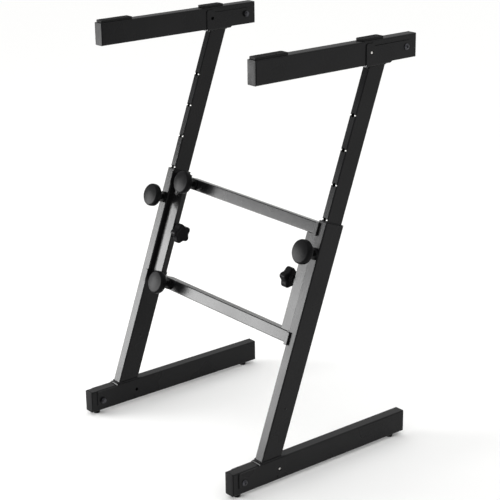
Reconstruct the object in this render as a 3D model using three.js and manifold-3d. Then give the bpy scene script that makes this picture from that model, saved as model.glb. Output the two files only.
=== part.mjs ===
// A folding Z keyboard stand: two Z-shaped side frames of flat steel tube, each with a telescoping
// mast and a fold-away arm and base, joined by an H-frame whose crossbars telescope for width.
// Millimetres, +Z up. The origin is on the floor under the middle of the stand. +X runs from the left
// side frame to the right one, -Y is the front, where the keyboard arms end.

import * as THREE from 'three';
import { mergeVertices } from 'three/addons/utils/BufferGeometryUtils.js';
import Module from 'manifold-3d';

const wasm = await Module();
wasm.setup();

// Driving dimensions: the side frames
const leanDegrees = 19.88;
const frameSpacing = 527.2;
const pivotOffset = 61.3;
const tubeDeep = 50;
const tubeWide = 25;
const tubeWall = 1.5;
const tubeCorner = 3;
const baseLength = 485.8;
const armLength = 424.8;
const pivotInset = 29.5;
const fit = 0.3;

// The telescoping masts
const mastDeep = 43;
const mastWide = 18;
const mastWall = 1.5;
const mastCorner = 2.5;
const lockHeight = 503.5;
const topHoleDrop = 162.5;
const holePitch = 73.1;
const holeCount = 5;
const mastTail = 73;
const uprightTop = 570.5;
const collarFlange = 2;
const collarDepth = 26;
const slideFit = 0.35;
const glideHeight = 12;
const glidePlug = 10;
const glideWall = 2;
const glideBlockWall = 4;
const dimpleHeight = 174.8;
const dimpleRadius = 3;
const dimpleRise = 0.8;

// Pressed brackets that carry the fold pivots
const bracketLength = 124;
const bracketPivotEdge = 13.4;
const bracketPlate = 2;
const bracketWeb = 2.5;
const bracketWebLength = 68;
const bracketRelief = 4.2;
const bracketLockDepth = 47.2;
const bracketLockRun = 21.5;
const bracketPlateDepth = 40.7;
const bracketCorner = 5;
const bracketBend = 1.6;
const lockReach = 95.4;
const lockHoleRadius = 4;

// Pivot bolts
const boltRadius = 4;
const boltClearance = 0.3;
const boltHeadRadius = 6.6;
const boltHeadHeight = 3.6;
const nutAcrossCorners = 14.4;
const nutHeight = 5.6;
const wallHoleReach = 5;

// Feet, end caps and pads
const footHeight = 8;
const footRadius = 8;
const footSeat = 6.2;
const footRound = 2;
const frontFootInset = 20.2;
const rearFootInset = 31.6;
const capFlange = 2.5;
const capPlug = 14;
const capWall = 2;
const capBevel = 0.8;
const padThick = 5;
const padWide = 23;
const padCorner = 4;
const frontPadInset = 3;
const frontPadLength = 81;
const rearPadInset = 277;
const rearPadLength = 57.5;

// Spring-loaded pull knobs, measured out from the face that they stand on
const knobFaceOut = 43.5;
const knobRadius = 26;
const knobFaceRadius = 20.5;
const knobDome = 7;
const knobRim = 5;
const knobUnder = 6.5;
const knobNeckShare = 1 / 3;
const skirtRadius = 7.7;
const skirtWall = 1.3;
const skirtStart = 12;
const cavityTop = 26.6;
const rodRadius = 2.5;
const noseRadius = 4;
const noseTop = 8.3;
const noseChamfer = 0.9;
const noseClearance = 0.4;
const hexAcrossCorners = 27;
const hexHeight = 6;
const barrelRadius = 6;
const barrelTop = 21;
const barrelCap = 2.3;
const boreRadius = 4.8;
const rodClearance = 0.4;
const holeRadius = 4.4;
const springWire = 0.6;
const springRadius = 3.7;
const springTurns = 5;

// The H-frame between the uprights
const upperBarHeight = 553.4;
const lowerBarHeight = 319;
const barTall = 25;
const barDeep = 30;
const barWall = 1.5;
const barCorner = 2;
const barLeftEnd = -206;
const barInset = 27.6;
const slideGap = 0.75;
const innerBarReach = 62;
const widthKnobPlace = -179;
const widthPitch = 50;
const widthHoleCount = 5;
const stileWide = 36;
const stileDeep = 15;
const stileWall = 1.5;
const stileCorner = 2;

// Saddles at the four corners of the H-frame
const saddleTall = 27;
const saddleDeep = 31;
const saddleCheek = 2.5;
const saddleLip = 1.8;
const saddleReach = 6.5;
const saddlePlug = 14;
const saddleWall = 2;
const saddleRound = 1.6;

// Star knobs
const starHeight = 436.2;
const starRadius = 23;
const starWaist = 17.5;
const starTall = 19;
const starBossRadius = 9.5;
const starBossFoot = 7.6;
const starBossTall = 6;
const starBevel = 2.2;
const starLobes = 5;
const starPhase = 50;
const starGap = 6;
const screwRadius = 4;
const screwTip = 0.9;

// Facet counts, and one overrun for every cut
const cornerFacets = 1;
const sheetFacets = 2;
const holeFacets = 12;
const roundFacets = 20;
const treadFacets = 2;
const boltDomeFacets = 4;
const knobDomeFacets = 3;
const lobeFacets = 6;
const gripBevelFacets = 2;
const hexSides = 6;
const wireSides = 5;
const wireSteps = 8;
const quarterTurn = Math.PI / 2;
const mergeShare = 1 / 1000;
const innerCornerShare = 1 / 3;
const cutOverrun = 20;

// Places that follow from the sizes above
const lean = THREE.MathUtils.degToRad(leanDegrees);
const pivotHeight = footHeight + tubeDeep / 2;
const basePivotAlong = (pivotHeight - pivotOffset * Math.sin(lean)) / Math.cos(lean);
const armPivotAlong = lockHeight + topHoleDrop + holePitch * (holeCount - 1);
const footY = -(basePivotAlong + armPivotAlong) * Math.sin(lean) / 2;
const webFace = tubeDeep / 2 + fit + bracketWeb;
const barEnd = frameSpacing / 2 - barInset;
const innerFace = frameSpacing / 2 - tubeWide / 2;
const innerTall = barTall - 2 * (barWall + slideGap);
const innerDeep = barDeep - 2 * (barWall + slideGap);
const stileMiddle = innerFace - fit - stileWide / 2;

// Point at a height along the lean and a depth behind the upright's centre line
function leaned(along, depth) {
  const y = footY + along * Math.sin(lean) + depth * Math.cos(lean);
  return new THREE.Vector2(y, along * Math.cos(lean) - depth * Math.sin(lean));
}

// Finishes
const finishes = {
  steel: { color: 0x2b2c2e, roughness: 0.55, metalness: 0.25 },
  plastic: { color: 0x161617, roughness: 0.6, metalness: 0 },
  rubber: { color: 0x111112, roughness: 0.9, metalness: 0 },
  zinc: { color: 0xa9abad, roughness: 0.35, metalness: 0.9 },
};

function finish(name) {
  return new THREE.MeshStandardMaterial(finishes[name]);
}

// Solids
function solid(geometry) {
  const bare = geometry.index ? geometry.toNonIndexed() : geometry.clone();
  bare.deleteAttribute('normal');
  bare.deleteAttribute('uv');
  const merged = mergeVertices(bare, fit * mergeShare);
  const vertProperties = new Float32Array(merged.attributes.position.array);
  const triVerts = new Uint32Array(merged.index.array);
  return new wasm.Manifold(new wasm.Mesh({ numProp: 3, vertProperties, triVerts }));
}

function skin(manifold) {
  const mesh = manifold.getMesh();
  const geometry = new THREE.BufferGeometry();
  geometry.setAttribute('position', new THREE.BufferAttribute(new Float32Array(mesh.vertProperties), 3));
  geometry.setIndex(new THREE.BufferAttribute(new Uint32Array(mesh.triVerts), 1));
  geometry.computeVertexNormals();
  return geometry;
}

function cut(body, tools) {
  return skin(tools.reduce((left, tool) => left.subtract(solid(tool)), solid(body)));
}

function fuse(pieces) {
  return skin(pieces.slice(1).reduce((sum, piece) => sum.add(solid(piece)), solid(pieces[0])));
}

// Outlines
function roundedRectangle(width, height, corner) {
  const x = width / 2;
  const y = height / 2;
  const r = Math.min(corner, x, y);
  const shape = new THREE.Shape();
  shape.moveTo(-x + r, -y);
  shape.lineTo(x - r, -y);
  shape.absarc(x - r, -y + r, r, -quarterTurn, 0, false);
  shape.lineTo(x, y - r);
  shape.absarc(x - r, y - r, r, 0, quarterTurn, false);
  shape.lineTo(-x + r, y);
  shape.absarc(-x + r, y - r, r, quarterTurn, 2 * quarterTurn, false);
  shape.lineTo(-x, -y + r);
  shape.absarc(-x + r, -y + r, r, 2 * quarterTurn, 3 * quarterTurn, false);
  return shape;
}

function tubeSection(width, height, corner, wall) {
  const shape = roundedRectangle(width, height, corner);
  const insideCorner = Math.max(corner - wall, wall * innerCornerShare);
  const inside = roundedRectangle(width - 2 * wall, height - 2 * wall, insideCorner);
  shape.holes.push(inside);
  return shape;
}

// Extrusions along each axis, from a start to an end
function alongZ(shape, from, to, facets = cornerFacets) {
  const geometry = new THREE.ExtrudeGeometry(shape, {
    depth: to - from,
    bevelEnabled: false,
    curveSegments: facets,
  });
  return geometry.translate(0, 0, from);
}

function alongY(shape, from, to) {
  return alongZ(shape, -to, -from).rotateX(quarterTurn);
}

function alongX(shape, from, to) {
  return alongZ(shape, from, to).rotateZ(quarterTurn).rotateY(quarterTurn);
}

// Round rod along X, for bolts, screws and the holes that take them
function rodX(radius, from, to, y = 0, z = 0) {
  const rod = new THREE.CylinderGeometry(radius, radius, to - from, holeFacets);
  return rod.rotateZ(quarterTurn).translate((from + to) / 2, y, z);
}

// Round rod along Y
function rodY(radius, from, to, x = 0, z = 0) {
  const rod = new THREE.CylinderGeometry(radius, radius, to - from, holeFacets);
  return rod.translate(x, (from + to) / 2, z);
}

// Revolved profile of [radius, distance] points, turned so that distance runs towards -Y
function turned(points, facets) {
  const profile = points.map(([radius, out]) => new THREE.Vector2(radius, -out));
  return new THREE.LatheGeometry(profile, facets);
}

function arcPoints(radius, rise, steps, centre, base) {
  return Array.from({ length: steps + 1 }, (_, i) => {
    const angle = quarterTurn * (i / steps);
    return [centre + radius * Math.cos(angle), base + rise * Math.sin(angle)];
  });
}

function piece(group, name, look, geometry) {
  const mesh = new THREE.Mesh(geometry, finish(look));
  mesh.name = name;
  group.add(mesh);
  return mesh;
}

// Hexagon across its corners, as an outline
function hexagon(acrossCorners) {
  const shape = new THREE.Shape();
  for (let i = 0; i < hexSides; i += 1) {
    const angle = (2 * Math.PI * i) / hexSides;
    const x = (acrossCorners / 2) * Math.cos(angle);
    const y = (acrossCorners / 2) * Math.sin(angle);
    if (i === 0) shape.moveTo(x, y);
    else shape.lineTo(x, y);
  }
  shape.closePath();
  return shape;
}

// Swinging tube with its pivot at the origin, running towards +Y, drilled for the pivot and the lock
function swingingTube(length) {
  const start = capFlange + fit - pivotInset;
  const end = length - pivotInset - capFlange - fit;
  const section = tubeSection(tubeWide, tubeDeep, tubeCorner, tubeWall);
  const reach = tubeWide / 2 + cutOverrun;
  return cut(alongY(section, start, end), [
    rodX(boltRadius + boltClearance, -reach, reach),
    rodX(lockHoleRadius, -reach, reach, lockReach),
  ]);
}

// Plastic end cap: a flange as large as the tube and a hollow plug inside it, growing towards +Y
function endCap() {
  const plugWide = tubeWide - 2 * (tubeWall + fit);
  const plugDeep = tubeDeep - 2 * (tubeWall + fit);
  const flange = new THREE.ExtrudeGeometry(
    roundedRectangle(tubeWide - 2 * capBevel, tubeDeep - 2 * capBevel, tubeCorner),
    {
      depth: capFlange - capBevel,
      bevelEnabled: true,
      bevelThickness: capBevel,
      bevelSize: capBevel,
      bevelSegments: 1,
      curveSegments: cornerFacets,
    },
  ).rotateX(-quarterTurn);
  const trim = new THREE.BoxGeometry(2 * tubeWide, cutOverrun, 2 * tubeDeep);
  trim.translate(0, -cutOverrun / 2, 0);
  const plug = alongY(tubeSection(plugWide, plugDeep, tubeCorner / 2, capWall), -capPlug, capBevel);
  return fuse([cut(flange, [trim]), plug]);
}

// Pressed U-bracket: a web across the tube and two cheeks down its sides, with its pivot at the origin
function bracket() {
  const outer = tubeWide / 2 + fit + bracketPlate;
  const inner = tubeWide / 2 + fit;
  const pivotEnd = -bracketPivotEdge;
  const lockEnd = bracketLength - bracketPivotEdge;
  const r = bracketCorner;
  const low = webFace - bracketLockDepth;
  const mid = webFace - bracketPlateDepth;
  const relieved = webFace - bracketRelief;
  const webStart = lockEnd - bracketWebLength;

  const side = new THREE.Shape();
  side.moveTo(pivotEnd, mid + r);
  side.absarc(pivotEnd + r, mid + r, r, 2 * quarterTurn, 3 * quarterTurn, false);
  side.lineTo(lockEnd - bracketLockRun, mid);
  side.lineTo(lockEnd - bracketLockRun + bracketPlate, low);
  side.absarc(lockEnd - r, low + r, r, -quarterTurn, 0, false);
  side.lineTo(lockEnd, webFace);
  side.lineTo(webStart, webFace);
  side.absarc(webStart - bracketRelief, webFace, bracketRelief, 0, -quarterTurn, true);
  side.lineTo(pivotEnd + bracketRelief, relieved);
  const endRound = relieved - bracketRelief;
  side.absarc(pivotEnd + bracketRelief, endRound, bracketRelief, quarterTurn, 2 * quarterTurn, false);
  side.closePath();

  const channel = new THREE.Shape();
  const open = low - cutOverrun;
  const bend = bracketBend;
  const bendOut = bend + bracketPlate;
  const under = webFace - bracketWeb - bend;
  const over = webFace - bendOut;
  channel.moveTo(-outer, open);
  channel.lineTo(-inner, open);
  channel.lineTo(-inner, under);
  channel.absarc(-inner + bend, under, bend, 2 * quarterTurn, quarterTurn, true);
  channel.lineTo(inner - bend, webFace - bracketWeb);
  channel.absarc(inner - bend, under, bend, quarterTurn, 0, true);
  channel.lineTo(inner, open);
  channel.lineTo(outer, open);
  channel.lineTo(outer, over);
  channel.absarc(outer - bendOut, over, bendOut, 0, quarterTurn, false);
  channel.lineTo(-outer + bendOut, webFace);
  channel.absarc(-outer + bendOut, over, bendOut, quarterTurn, 2 * quarterTurn, false);
  channel.closePath();

  const plate = alongZ(side, -outer - fit, outer + fit, sheetFacets);
  plate.rotateZ(quarterTurn).rotateY(quarterTurn);
  const profile = alongY(channel, pivotEnd - cutOverrun, lockEnd + cutOverrun);
  const pressed = solid(profile).intersect(solid(plate));
  const reach = outer + cutOverrun;
  return cut(skin(pressed), [
    rodX(boltRadius + boltClearance, -reach, reach),
    rodX(lockHoleRadius, -reach, reach, lockReach),
  ]);
}

// Pivot bolt along X: domed head at the outer side, shank through bracket and tube, nut inboard
function pivotBolt() {
  const face = tubeWide / 2 + fit + bracketPlate + fit;
  const dome = arcPoints(boltHeadRadius, boltHeadHeight, boltDomeFacets, 0, face);
  const profile = [[0, face], ...dome].map(([radius, along]) => new THREE.Vector2(radius, along));
  const head = new THREE.LatheGeometry(profile, holeFacets);
  const nut = alongX(hexagon(nutAcrossCorners), -face - nutHeight, -face);
  const shank = rodX(boltRadius, -face - nutHeight - boltRadius / 2, face + boltHeadHeight / 2);
  return fuse([shank, nut, head.rotateZ(-quarterTurn)]);
}

// Rubber foot with a tapered, rounded tread
function foot() {
  const tread = arcPoints(footRound, -footRound, treadFacets, footSeat - footRound, footRound - footHeight);
  const profile = [
    [0, -footHeight],
    ...tread.reverse(),
    [footRadius, -fit - footRound],
    [footRadius, -fit],
    [0, -fit],
  ].map(([radius, up]) => new THREE.Vector2(radius, up));
  return new THREE.LatheGeometry(profile, roundFacets).rotateX(quarterTurn);
}

// Rubber pad that the keyboard lies on
function pad(length) {
  const outline = roundedRectangle(padWide - 2 * capBevel, length - 2 * capBevel, padCorner);
  const geometry = new THREE.ExtrudeGeometry(outline, {
    depth: padThick - fit - 2 * capBevel,
    bevelEnabled: true,
    bevelThickness: capBevel,
    bevelSize: capBevel,
    bevelSegments: 1,
    curveSegments: cornerFacets,
  });
  return geometry.translate(0, 0, capBevel);
}

// A Z frame's swinging member: tube, two caps, and the pivot bolt, all in the member's own frame
function member(group, prefix, length, inward) {
  piece(group, `${prefix}_tube`, 'steel', swingingTube(length));
  const near = piece(group, `${prefix}_pivot_end_cap`, 'plastic', endCap());
  near.rotation.z = Math.PI;
  near.position.y = capFlange - pivotInset;
  const far = piece(group, `${prefix}_free_end_cap`, 'plastic', endCap());
  far.position.y = length - pivotInset - capFlange;
  const bolt = piece(group, `${prefix}_pivot_bolt`, 'zinc', pivotBolt());
  bolt.rotation.y = inward > 0 ? Math.PI : 0;
}

// Everything under a horizontal plane through a point of the upright's frame
function below(along, depth, size) {
  const box = new THREE.BoxGeometry(size, size, size).translate(0, 0, -size / 2);
  return box.rotateX(lean).translate(0, depth, along);
}

// Outer upright, cut level where it stands on the base bracket
function upright(inward) {
  const level = (pivotHeight + webFace + fit) / Math.cos(lean);
  const size = frameSpacing;
  const section = tubeSection(tubeWide, tubeDeep, tubeCorner, tubeWall);
  const front = -tubeDeep / 2;
  const side = inward * tubeWide / 2;
  const wallCut = [side - wallHoleReach, side + wallHoleReach];
  const drilled = cut(alongZ(section, 0, uprightTop), [
    below(level, 0, size),
    rodY(holeRadius, front - cutOverrun, front + tubeWall + fit, 0, lockHeight),
    rodX(screwRadius + boltClearance, ...wallCut, -stileDeep / 2, starHeight),
  ]);
  const dimple = new THREE.SphereGeometry(dimpleRadius, holeFacets, holeFacets / 2);
  dimple.scale(dimpleRise / dimpleRadius, 1, 1).translate(tubeWide / 2, 0, dimpleHeight);
  return fuse([drilled, dimple]);
}

// Plastic collar: a flange on top of the upright and a sleeve that guides the mast
function collar() {
  const mouthWide = mastWide + 2 * slideFit;
  const mouthDeep = mastDeep + 2 * slideFit;
  const flange = roundedRectangle(tubeWide, tubeDeep, tubeCorner);
  flange.holes.push(roundedRectangle(mouthWide, mouthDeep, mastCorner));
  const gap = 2 * (tubeWall + fit);
  const sleeve = roundedRectangle(tubeWide - gap, tubeDeep - gap, tubeCorner / 2);
  sleeve.holes.push(roundedRectangle(mouthWide, mouthDeep, mastCorner));
  const seat = uprightTop + fit;
  return fuse([
    alongZ(flange, seat, seat + collarFlange),
    alongZ(sleeve, seat - collarDepth, seat + collarFlange / 2),
  ]);
}

// Inner mast: drilled in its front face at each height setting, cut level under the arm bracket
function mast() {
  const bottom = lockHeight - mastTail;
  const level = (leaned(armPivotAlong, pivotOffset).y - webFace - fit) / Math.cos(lean);
  const section = tubeSection(mastWide, mastDeep, mastCorner, mastWall);
  const front = -mastDeep / 2;
  const holes = Array.from({ length: holeCount }, (_, i) => {
    const height = armPivotAlong - topHoleDrop - i * holePitch;
    return rodY(noseRadius + noseClearance, front - cutOverrun / 2, front + mastWall + fit, 0, height);
  });
  const size = frameSpacing;
  const above = new THREE.BoxGeometry(size, size, size).translate(0, 0, size / 2);
  above.rotateX(lean).translate(0, 0, level);
  return cut(alongZ(section, bottom, armPivotAlong), [above, ...holes]);
}

// Plastic glide plugged into the mast's lower end, sliding inside the upright
function glide() {
  const bottom = lockHeight - mastTail;
  const wide = tubeWide - 2 * (tubeWall + slideFit);
  const deep = tubeDeep - 2 * (tubeWall + slideFit);
  const plugWide = mastWide - 2 * (mastWall + fit);
  const plugDeep = mastDeep - 2 * (mastWall + fit);
  const top = bottom - fit;
  const block = tubeSection(wide, deep, tubeCorner / 2, glideBlockWall);
  const plug = tubeSection(plugWide, plugDeep, mastCorner / 2, glideWall);
  return fuse([
    alongZ(block, top - glideHeight, top),
    alongZ(plug, top - glideHeight / 2, bottom + glidePlug),
  ]);
}

// Pull knob, plunger rod and nose in one, its nose just clear of the tube that it locks
function pullKnob(noseReach) {
  const bulge = knobFaceOut - knobDome;
  const dome = arcPoints(knobRadius - knobFaceRadius, knobDome, knobDomeFacets, knobFaceRadius, bulge);
  const under = bulge - knobRim;
  const neck = knobUnder * knobNeckShare;
  return turned([
    [0, knobFaceOut],
    ...dome.reverse(),
    [knobRadius, under],
    [knobRadius - knobUnder / 2, under - neck],
    [skirtRadius + knobUnder / 2, under - knobUnder],
    [skirtRadius, under - knobUnder - neck],
    [skirtRadius, skirtStart],
    [skirtRadius - skirtWall, skirtStart],
    [skirtRadius - skirtWall, cavityTop],
    [rodRadius, cavityTop],
    [rodRadius, noseTop],
    [noseRadius, noseTop],
    [noseRadius, noseChamfer - noseReach],
    [noseRadius - noseChamfer, -noseReach],
    [0, -noseReach],
  ], roundFacets);
}

// Steel housing: a hexagon foot on the tube and the barrel that holds the spring
function knobHousing() {
  const hex = alongY(hexagon(hexAcrossCorners), -fit - hexHeight, -fit);
  const barrel = turned([
    [barrelRadius, barrelTop],
    [barrelRadius, fit],
    [boreRadius, fit],
    [boreRadius, barrelTop - barrelCap],
    [rodRadius + rodClearance, barrelTop - barrelCap],
    [rodRadius + rodClearance, barrelTop],
    [barrelRadius, barrelTop],
  ], holeFacets);
  const bore = rodY((boreRadius + barrelRadius) / 2, -fit - hexHeight - cutOverrun, cutOverrun);
  return fuse([cut(hex, [bore]), barrel]);
}

// Coil spring between the plunger's shoulder and the barrel's cap, one unbroken wire
class Coil extends THREE.Curve {
  constructor(from, to) {
    super();
    this.from = from;
    this.to = to;
  }

  getPoint(t, target = new THREE.Vector3()) {
    const angle = 2 * Math.PI * springTurns * t;
    const out = this.from + (this.to - this.from) * t;
    return target.set(springRadius * Math.cos(angle), -out, springRadius * Math.sin(angle));
  }
}

function spring() {
  const from = noseTop + fit + springWire;
  const to = barrelTop - barrelCap - fit - springWire;
  const wire = new THREE.Shape();
  for (let i = 0; i < wireSides; i += 1) {
    const angle = (2 * Math.PI * i) / wireSides;
    const x = springWire * Math.cos(angle);
    const y = springWire * Math.sin(angle);
    if (i === 0) wire.moveTo(x, y);
    else wire.lineTo(x, y);
  }
  wire.closePath();
  const geometry = new THREE.ExtrudeGeometry(wire, {
    steps: springTurns * wireSteps,
    bevelEnabled: false,
    extrudePath: new Coil(from, to),
  });
  return skin(solid(geometry));
}

// One complete lock: its housing and spring stay with the tube, the knob slides in them
function lock(group, prefix, place, noseReach) {
  const made = [
    piece(group, `${prefix}_knob`, 'plastic', pullKnob(noseReach)),
    piece(group, `${prefix}_housing`, 'steel', knobHousing()),
    piece(group, `${prefix}_spring`, 'zinc', spring()),
  ];
  made.forEach((mesh) => mesh.position.copy(place));
}

// H-frame crossbar, open at its left end where the inner bar slides in
function outerCrossbar() {
  const section = tubeSection(barDeep, barTall, barCorner, barWall);
  const front = -barDeep / 2;
  return cut(alongX(section, barLeftEnd, barEnd), [
    rodY(holeRadius, front - cutOverrun, front + barWall + fit, widthKnobPlace),
  ]);
}

function innerBar() {
  const section = tubeSection(innerDeep, innerTall, barCorner - barWall / 2, barWall);
  const front = -innerDeep / 2;
  const holes = Array.from({ length: widthHoleCount }, (_, i) => (
    rodY(holeRadius, front - cutOverrun, front + barWall + fit, widthKnobPlace + i * widthPitch)
  ));
  return cut(alongX(section, -barEnd, innerBarReach), holes);
}

// Flat upright of the H-frame, notched round the saddle blocks and drilled for the star knob's screw
function stile(sign, low, high) {
  const section = tubeSection(stileWide, stileDeep, stileCorner, stileWall);
  const reach = stileWide / 2 + cutOverrun;
  const notches = [lowerBarHeight, upperBarHeight].map((height) => {
    const box = new THREE.BoxGeometry(2 * barInset, 2 * tubeDeep, saddleTall + 2 * fit);
    return box.translate(sign * (barEnd + barInset - stileMiddle), 0, height);
  });
  return cut(alongZ(section, low, high).translate(0, -stileDeep / 2, 0), [
    rodX(screwRadius + boltClearance, -reach, reach, -stileDeep / 2, starHeight),
    ...notches,
  ]);
}

// Plastic saddle, drawn for the right side: a plug in the crossbar, a block, and a C round the upright
function saddle(plugTall, plugDeep) {
  const cheekIn = innerFace - fit - saddleCheek;
  const outline = new THREE.Shape();
  const lipIn = tubeDeep / 2 + fit;
  const lipOut = lipIn + saddleLip;
  const lipEnd = innerFace + saddleReach;
  const seat = innerFace - fit;
  const r = saddleRound;
  outline.moveTo(barEnd + fit, -saddleDeep / 2);
  outline.lineTo(cheekIn, -saddleDeep / 2);
  outline.lineTo(cheekIn, -lipOut + r);
  outline.absarc(cheekIn + r, -lipOut + r, r, 2 * quarterTurn, 3 * quarterTurn, false);
  outline.lineTo(lipEnd, -lipOut);
  outline.lineTo(lipEnd, -lipIn);
  outline.lineTo(seat, -lipIn);
  outline.lineTo(seat, lipIn);
  outline.lineTo(lipEnd, lipIn);
  outline.lineTo(lipEnd, lipOut);
  outline.lineTo(cheekIn + r, lipOut);
  outline.absarc(cheekIn + r, lipOut - r, r, quarterTurn, 2 * quarterTurn, false);
  outline.lineTo(cheekIn, saddleDeep / 2);
  outline.lineTo(barEnd + fit, saddleDeep / 2);
  outline.closePath();
  const body = alongZ(outline, -saddleTall / 2, saddleTall / 2);
  const plug = tubeSection(plugDeep, plugTall, saddleRound, saddleWall);
  return fuse([body, alongX(plug, barEnd - saddlePlug, barEnd + 2 * fit)]);
}

// Five-lobed clamp knob and its screw, drawn for the left side with the screw towards -X
function starKnob() {
  const base = tubeWide / 2 + fit + stileWide + starGap;
  const outline = new THREE.Shape();
  const steps = starLobes * lobeFacets;
  const middle = (starRadius + starWaist) / 2 - starBevel;
  const swing = (starRadius - starWaist) / 2;
  const phase = THREE.MathUtils.degToRad(starPhase);
  for (let i = 0; i < steps; i += 1) {
    const angle = (2 * Math.PI * i) / steps;
    const radius = middle + swing * Math.cos(starLobes * (angle - phase));
    const x = radius * Math.sin(angle);
    const y = radius * Math.cos(angle);
    if (i === 0) outline.moveTo(x, y);
    else outline.lineTo(x, y);
  }
  outline.closePath();
  const grip = new THREE.ExtrudeGeometry(outline, {
    depth: starTall - 2 * starBevel,
    bevelEnabled: true,
    bevelThickness: starBevel,
    bevelSize: starBevel,
    bevelSegments: gripBevelFacets,
    curveSegments: 1,
  });
  grip.translate(0, 0, base + starBossTall + starBevel).rotateZ(quarterTurn).rotateY(quarterTurn);
  const bossTall = starBossTall + starBevel;
  const boss = new THREE.CylinderGeometry(starBossRadius, starBossFoot, bossTall, roundFacets);
  boss.rotateZ(-quarterTurn).translate(base + bossTall / 2, 0, 0);
  const screw = rodX(screwRadius, tubeWide / 2 - tubeWall - screwTip, base + starBossTall);
  return fuse([grip, boss, screw]);
}

// One Z frame. inward is +1 for the left frame, whose inner face looks towards +X, and -1 for the right
function sideFrame(side, inward) {
  const frame = new THREE.Group();
  frame.position.x = -inward * frameSpacing / 2;

  const baseGroup = new THREE.Group();
  const basePivot = leaned(basePivotAlong, -pivotOffset);
  baseGroup.position.set(0, basePivot.x, basePivot.y);
  frame.add(baseGroup);
  member(baseGroup, `${side}_base`, baseLength, inward);
  const frontFoot = piece(baseGroup, `${side}_front_foot`, 'rubber', foot());
  frontFoot.position.set(0, frontFootInset - pivotInset, -tubeDeep / 2);
  const rearFoot = piece(baseGroup, `${side}_rear_foot`, 'rubber', foot());
  rearFoot.position.set(0, baseLength - pivotInset - rearFootInset, -tubeDeep / 2);
  piece(baseGroup, `${side}_base_bracket`, 'steel', bracket());

  const armGroup = new THREE.Group();
  const armPivot = leaned(armPivotAlong, pivotOffset);
  armGroup.position.set(0, armPivot.x, armPivot.y);
  armGroup.rotation.x = Math.PI;
  frame.add(armGroup);
  member(armGroup, `${side}_arm`, armLength, inward);
  const padFace = -tubeDeep / 2 - fit;
  const front = piece(armGroup, `${side}_front_pad`, 'rubber', pad(frontPadLength));
  front.rotation.x = Math.PI;
  front.position.set(0, armLength - pivotInset - frontPadInset - frontPadLength / 2, padFace);
  const rear = piece(armGroup, `${side}_rear_pad`, 'rubber', pad(rearPadLength));
  rear.rotation.x = Math.PI;
  rear.position.set(0, armLength - pivotInset - rearPadInset - rearPadLength / 2, padFace);
  piece(armGroup, `${side}_arm_bracket`, 'steel', bracket());

  const uprightGroup = new THREE.Group();
  uprightGroup.position.y = footY;
  uprightGroup.rotation.x = -lean;
  frame.add(uprightGroup);
  piece(uprightGroup, `${side}_upright`, 'steel', upright(inward));
  piece(uprightGroup, `${side}_collar`, 'plastic', collar());
  piece(uprightGroup, `${side}_mast`, 'steel', mast());
  piece(uprightGroup, `${side}_mast_glide`, 'plastic', glide());
  const lockPlace = new THREE.Vector3(0, -tubeDeep / 2, lockHeight);
  lock(uprightGroup, `${side}_height`, lockPlace, (tubeDeep - mastDeep) / 2 - noseClearance);
  const star = piece(uprightGroup, `${side}_star_knob`, 'plastic', starKnob());
  star.position.set(0, -stileDeep / 2, starHeight);
  star.rotation.y = inward > 0 ? 0 : Math.PI;
  return frame;
}

// The H-frame, in the upright's leaned plane: the left half carries the inner bars, the right the outer
function hFrame() {
  const group = new THREE.Group();
  group.position.y = footY;
  group.rotation.x = -lean;
  const bars = [['upper', upperBarHeight], ['lower', lowerBarHeight]];
  const fits = {
    left: [innerTall - 2 * (barWall + fit), innerDeep - 2 * (barWall + fit)],
    right: [barTall - 2 * (barWall + fit), barDeep - 2 * (barWall + fit)],
  };
  for (const [level, height] of bars) {
    piece(group, `${level}_outer_crossbar`, 'steel', outerCrossbar()).position.z = height;
    piece(group, `${level}_inner_bar`, 'steel', innerBar()).position.z = height;
    const place = new THREE.Vector3(widthKnobPlace, -barDeep / 2, height);
    lock(group, `${level}_width`, place, barWall + slideGap - noseClearance);
    for (const [side, sizes] of Object.entries(fits)) {
      const made = piece(group, `${side}_${level}_saddle`, 'plastic', saddle(...sizes));
      made.position.z = height;
      made.rotation.z = side === 'left' ? Math.PI : 0;
    }
  }
  const halves = { left: [-1, innerTall / 2 + fit], right: [1, barTall / 2 + fit] };
  for (const [side, [sign, clear]] of Object.entries(halves)) {
    const shape = stile(sign, lowerBarHeight + clear, upperBarHeight - clear);
    piece(group, `${side}_stile`, 'steel', shape).position.x = sign * stileMiddle;
  }
  return group;
}

const stand = new THREE.Group();
stand.add(sideFrame('left', 1), sideFrame('right', -1), hFrame());

export default stand;
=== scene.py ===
from math import atan2, cos, pi, radians, sin, tan

import bmesh
import bpy
from mathutils import Matrix, Vector


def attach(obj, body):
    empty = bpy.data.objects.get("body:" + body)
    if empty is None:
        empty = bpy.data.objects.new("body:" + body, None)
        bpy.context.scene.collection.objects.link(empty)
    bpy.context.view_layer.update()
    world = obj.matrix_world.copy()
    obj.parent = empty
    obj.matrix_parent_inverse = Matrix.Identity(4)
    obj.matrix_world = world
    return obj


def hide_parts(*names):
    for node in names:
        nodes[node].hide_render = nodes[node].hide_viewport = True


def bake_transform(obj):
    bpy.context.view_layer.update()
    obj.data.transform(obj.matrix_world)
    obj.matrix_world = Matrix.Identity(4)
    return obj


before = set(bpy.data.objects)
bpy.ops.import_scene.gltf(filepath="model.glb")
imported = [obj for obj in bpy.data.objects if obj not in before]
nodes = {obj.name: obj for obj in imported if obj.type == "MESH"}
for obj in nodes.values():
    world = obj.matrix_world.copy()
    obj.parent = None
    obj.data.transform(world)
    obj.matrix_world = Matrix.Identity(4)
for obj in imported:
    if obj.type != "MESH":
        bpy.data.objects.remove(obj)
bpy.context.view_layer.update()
print("stage: frame loaded,", len(nodes), "nodes")

# Every size below is in millimetres, and millimetre turns it into Blender's metres
millimetre = 0.001

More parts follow.
